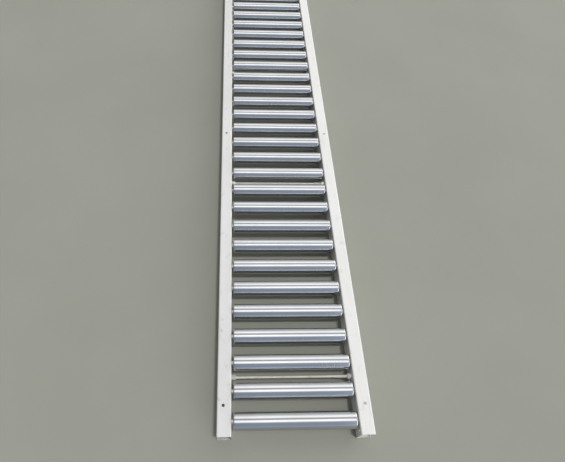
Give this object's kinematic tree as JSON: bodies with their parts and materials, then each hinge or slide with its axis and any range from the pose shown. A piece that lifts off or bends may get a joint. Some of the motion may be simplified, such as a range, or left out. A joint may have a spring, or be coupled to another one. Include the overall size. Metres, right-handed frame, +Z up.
{
  "type": "gravity roller conveyor",
  "caption": "Straight gravity conveyor section: plated steel rollers turning on fixed hexagon axles between two white lipped-channel side rails joined by tie rods.",
  "frame": {"origin": "on the floor under the middle of the section", "axes": "+Y along the conveyor, +X across it, +Z up"},
  "size_m": [0.54, 3, 0.09],
  "materials": {
    "rail_paint": "white satin powder coat on cold-formed steel",
    "roller_steel": "bright zinc plate on drawn steel tube",
    "axle_steel": "drawn steel, zinc plated",
    "bearing_steel": "hardened bearing steel, ground",
    "shield_steel": "pressed sheet steel",
    "fastener_zinc": "zinc plated, slightly dull",
    "tie_rod_steel": "zinc plated rod with rolled threads"
  },
  "bodies": {
    "frame": {"left_side_rail": "rail_paint", "right_side_rail": "rail_paint", "axles": "axle_steel", "bearing_inner_races": "bearing_steel", "bearing_ball_rows": "bearing_steel", "bearing_shields": "shield_steel", "axle_spacers": "axle_steel", "axle_washers": "fastener_zinc", "axle_split_pins": "fastener_zinc", "tie_rods": "tie_rod_steel", "tie_rod_inner_washers": "fastener_zinc", "tie_rod_inner_nuts": "fastener_zinc", "tie_rod_outer_washers": "fastener_zinc", "tie_rod_outer_nuts": "fastener_zinc", "tie_rod_spring_washers": "fastener_zinc"},
    "roller_01": {"roller_01": "roller_steel"},
    "roller_02": {"roller_02": "roller_steel"},
    "roller_03": {"roller_03": "roller_steel"},
    "roller_04": {"roller_04": "roller_steel"},
    "roller_05": {"roller_05": "roller_steel"},
    "roller_06": {"roller_06": "roller_steel"},
    "roller_07": {"roller_07": "roller_steel"},
    "roller_08": {"roller_08": "roller_steel"},
    "roller_09": {"roller_09": "roller_steel"},
    "roller_10": {"roller_10": "roller_steel"},
    "roller_11": {"roller_11": "roller_steel"},
    "roller_12": {"roller_12": "roller_steel"},
    "roller_13": {"roller_13": "roller_steel"},
    "roller_14": {"roller_14": "roller_steel"},
    "roller_15": {"roller_15": "roller_steel"},
    "roller_16": {"roller_16": "roller_steel"},
    "roller_17": {"roller_17": "roller_steel"},
    "roller_18": {"roller_18": "roller_steel"},
    "roller_19": {"roller_19": "roller_steel"},
    "roller_20": {"roller_20": "roller_steel"},
    "roller_21": {"roller_21": "roller_steel"},
    "roller_22": {"roller_22": "roller_steel"},
    "roller_23": {"roller_23": "roller_steel"},
    "roller_24": {"roller_24": "roller_steel"},
    "roller_25": {"roller_25": "roller_steel"},
    "roller_26": {"roller_26": "roller_steel"},
    "roller_27": {"roller_27": "roller_steel"},
    "roller_28": {"roller_28": "roller_steel"},
    "roller_29": {"roller_29": "roller_steel"},
    "roller_30": {"roller_30": "roller_steel"}
  },
  "joints": [
    {"name": "roller_01_spin", "type": "hinge", "parent": "frame", "child": "roller_01", "pos_m": [0, -1.45, 0.06], "axis": [1, 0, 0], "continuous": true},
    {"name": "roller_02_spin", "type": "hinge", "parent": "frame", "child": "roller_02", "pos_m": [0, -1.35, 0.06], "axis": [1, 0, 0], "continuous": true},
    {"name": "roller_03_spin", "type": "hinge", "parent": "frame", "child": "roller_03", "pos_m": [0, -1.25, 0.06], "axis": [1, 0, 0], "continuous": true},
    {"name": "roller_04_spin", "type": "hinge", "parent": "frame", "child": "roller_04", "pos_m": [0, -1.15, 0.06], "axis": [1, 0, 0], "continuous": true},
    {"name": "roller_05_spin", "type": "hinge", "parent": "frame", "child": "roller_05", "pos_m": [0, -1.05, 0.06], "axis": [1, 0, 0], "continuous": true},
    {"name": "roller_06_spin", "type": "hinge", "parent": "frame", "child": "roller_06", "pos_m": [0, -0.95, 0.06], "axis": [1, 0, 0], "continuous": true},
    {"name": "roller_07_spin", "type": "hinge", "parent": "frame", "child": "roller_07", "pos_m": [0, -0.85, 0.06], "axis": [1, 0, 0], "continuous": true},
    {"name": "roller_08_spin", "type": "hinge", "parent": "frame", "child": "roller_08", "pos_m": [0, -0.75, 0.06], "axis": [1, 0, 0], "continuous": true},
    {"name": "roller_09_spin", "type": "hinge", "parent": "frame", "child": "roller_09", "pos_m": [0, -0.65, 0.06], "axis": [1, 0, 0], "continuous": true},
    {"name": "roller_10_spin", "type": "hinge", "parent": "frame", "child": "roller_10", "pos_m": [0, -0.55, 0.06], "axis": [1, 0, 0], "continuous": true},
    {"name": "roller_11_spin", "type": "hinge", "parent": "frame", "child": "roller_11", "pos_m": [0, -0.45, 0.06], "axis": [1, 0, 0], "continuous": true},
    {"name": "roller_12_spin", "type": "hinge", "parent": "frame", "child": "roller_12", "pos_m": [0, -0.35, 0.06], "axis": [1, 0, 0], "continuous": true},
    {"name": "roller_13_spin", "type": "hinge", "parent": "frame", "child": "roller_13", "pos_m": [0, -0.25, 0.06], "axis": [1, 0, 0], "continuous": true},
    {"name": "roller_14_spin", "type": "hinge", "parent": "frame", "child": "roller_14", "pos_m": [0, -0.15, 0.06], "axis": [1, 0, 0], "continuous": true},
    {"name": "roller_15_spin", "type": "hinge", "parent": "frame", "child": "roller_15", "pos_m": [0, -0.05, 0.06], "axis": [1, 0, 0], "continuous": true},
    {"name": "roller_16_spin", "type": "hinge", "parent": "frame", "child": "roller_16", "pos_m": [0, 0.05, 0.06], "axis": [1, 0, 0], "continuous": true},
    {"name": "roller_17_spin", "type": "hinge", "parent": "frame", "child": "roller_17", "pos_m": [0, 0.15, 0.06], "axis": [1, 0, 0], "continuous": true},
    {"name": "roller_18_spin", "type": "hinge", "parent": "frame", "child": "roller_18", "pos_m": [0, 0.25, 0.06], "axis": [1, 0, 0], "continuous": true},
    {"name": "roller_19_spin", "type": "hinge", "parent": "frame", "child": "roller_19", "pos_m": [0, 0.35, 0.06], "axis": [1, 0, 0], "continuous": true},
    {"name": "roller_20_spin", "type": "hinge", "parent": "frame", "child": "roller_20", "pos_m": [0, 0.45, 0.06], "axis": [1, 0, 0], "continuous": true},
    {"name": "roller_21_spin", "type": "hinge", "parent": "frame", "child": "roller_21", "pos_m": [0, 0.55, 0.06], "axis": [1, 0, 0], "continuous": true},
    {"name": "roller_22_spin", "type": "hinge", "parent": "frame", "child": "roller_22", "pos_m": [0, 0.65, 0.06], "axis": [1, 0, 0], "continuous": true},
    {"name": "roller_23_spin", "type": "hinge", "parent": "frame", "child": "roller_23", "pos_m": [0, 0.75, 0.06], "axis": [1, 0, 0], "continuous": true},
    {"name": "roller_24_spin", "type": "hinge", "parent": "frame", "child": "roller_24", "pos_m": [0, 0.85, 0.06], "axis": [1, 0, 0], "continuous": true},
    {"name": "roller_25_spin", "type": "hinge", "parent": "frame", "child": "roller_25", "pos_m": [0, 0.95, 0.06], "axis": [1, 0, 0], "continuous": true},
    {"name": "roller_26_spin", "type": "hinge", "parent": "frame", "child": "roller_26", "pos_m": [0, 1.05, 0.06], "axis": [1, 0, 0], "continuous": true},
    {"name": "roller_27_spin", "type": "hinge", "parent": "frame", "child": "roller_27", "pos_m": [0, 1.15, 0.06], "axis": [1, 0, 0], "continuous": true},
    {"name": "roller_28_spin", "type": "hinge", "parent": "frame", "child": "roller_28", "pos_m": [0, 1.25, 0.06], "axis": [1, 0, 0], "continuous": true},
    {"name": "roller_29_spin", "type": "hinge", "parent": "frame", "child": "roller_29", "pos_m": [0, 1.35, 0.06], "axis": [1, 0, 0], "continuous": true},
    {"name": "roller_30_spin", "type": "hinge", "parent": "frame", "child": "roller_30", "pos_m": [0, 1.45, 0.06], "axis": [1, 0, 0], "continuous": true}
  ]
}
